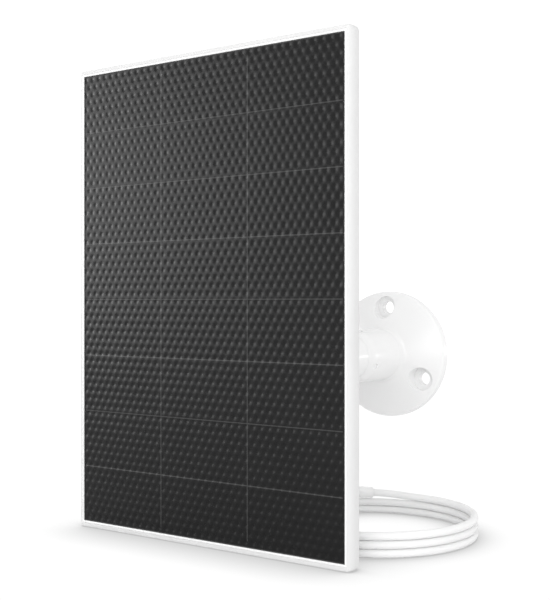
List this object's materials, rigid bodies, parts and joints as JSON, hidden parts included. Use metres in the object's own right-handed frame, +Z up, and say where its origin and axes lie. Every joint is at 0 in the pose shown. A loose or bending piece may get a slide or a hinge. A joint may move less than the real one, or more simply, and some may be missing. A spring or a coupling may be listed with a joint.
{
  "type": "solar charging panel with swivel wall bracket",
  "caption": "Upright dark solar panel in a thin white frame, on a ball-jointed bracket with a round screw-on wall base, with a coiled white charging lead.",
  "frame": {"origin": "on the surface that the panel stands on, under the middle of the panel and bracket", "axes": "+Z up, -Y out of the panel's dark front, +Y from the panel to the wall along the bracket, +X to the right seen from the front"},
  "size_m": [0.1412, 0.1396, 0.18],
  "materials": {
    "white_shell": "satin moulded white plastic",
    "white_bracket": "semi-gloss moulded white plastic",
    "black_film": "embossed satin film over dark cells",
    "solar_cell": "dark silicon wafer",
    "backsheet": "glass-fibre laminate",
    "circuit_board": "green solder mask",
    "dark_component": "black moulded epoxy",
    "brass": "machined brass",
    "steel": "turned stainless steel",
    "black_rubber": "black sealing rubber",
    "grey_nylon": "grey bearing nylon",
    "white_cord": "smooth white flexible jacket"
  },
  "bodies": {
    "panel": {"front_frame": "white_shell", "back_cover": "white_shell", "embossed_film": "black_film", "solar_cell_r1_c1": "solar_cell", "solar_cell_r1_c2": "solar_cell", "solar_cell_r1_c3": "solar_cell", "solar_cell_r2_c1": "solar_cell", "solar_cell_r2_c2": "solar_cell", "solar_cell_r2_c3": "solar_cell", "solar_cell_r3_c1": "solar_cell", "solar_cell_r3_c2": "solar_cell", "solar_cell_r3_c3": "solar_cell", "solar_cell_r4_c1": "solar_cell", "solar_cell_r4_c2": "solar_cell", "solar_cell_r4_c3": "solar_cell", "solar_cell_r5_c1": "solar_cell", "solar_cell_r5_c2": "solar_cell", "solar_cell_r5_c3": "solar_cell", "solar_cell_r6_c1": "solar_cell", "solar_cell_r6_c2": "solar_cell", "solar_cell_r6_c3": "solar_cell", "solar_cell_r7_c1": "solar_cell", "solar_cell_r7_c2": "solar_cell", "solar_cell_r7_c3": "solar_cell", "solar_cell_r8_c1": "solar_cell", "solar_cell_r8_c2": "solar_cell", "solar_cell_r8_c3": "solar_cell", "backsheet_board": "backsheet", "frame_gasket": "black_rubber", "regulator_board": "circuit_board", "regulator_inductor": "dark_component", "regulator_chip": "dark_component", "output_terminal": "dark_component", "blocking_diode": "dark_component", "output_capacitor": "steel", "threaded_insert": "brass", "cover_screw_1": "steel", "cover_screw_2": "steel", "cover_screw_3": "steel", "cover_screw_4": "steel", "cord_bush": "white_cord", "cord_boot": "white_cord", "cord_lead": "white_cord", "cord_coil": "white_cord", "plug_boot": "white_cord", "plug_body": "white_cord", "plug_shell": "steel", "plug_tongue": "dark_component"},
    "lock_nut": {"stud_lock_nut": "steel"},
    "stud": {"ball_stud": "steel"},
    "seat": {"ball_seat": "grey_nylon"},
    "arm": {"ball_socket": "white_bracket", "arm_tube": "white_bracket", "friction_ring": "grey_nylon", "arm_end_plug": "grey_nylon", "swivel_washer": "steel", "swivel_screw": "steel"},
    "collar": {"clamp_collar": "white_bracket"},
    "base": {"wall_base": "white_bracket"}
  },
  "joints": [
    {"name": "panel_turn", "type": "hinge", "parent": "panel", "child": "stud", "pos_m": [0, -0.02835, 0.0645], "axis": [0, 1, 0], "range_deg": [-90, 0]},
    {"name": "ball_pan", "type": "hinge", "parent": "stud", "child": "seat", "pos_m": [0, -0.02835, 0.0645], "axis": [0, 0, 1], "range_deg": [-32, 32]},
    {"name": "ball_tilt", "type": "hinge", "parent": "seat", "child": "arm", "pos_m": [0, -0.02835, 0.0645], "axis": [1, 0, 0], "range_deg": [-15, 35]},
    {"name": "collar_turn", "type": "hinge", "parent": "arm", "child": "collar", "pos_m": [0, -0.02835, 0.0645], "axis": [0, 1, 0], "range_deg": [-180, 0]},
    {"name": "base_swivel", "type": "hinge", "parent": "arm", "child": "base", "pos_m": [0, 0.04265, 0.0645], "axis": [0, 1, 0], "continuous": true},
    {"name": "lock_nut_turn", "type": "hinge", "parent": "panel", "child": "lock_nut", "pos_m": [0, -0.04955, 0.0645], "axis": [0, 1, 0], "range_deg": [0, 120]}
  ]
}
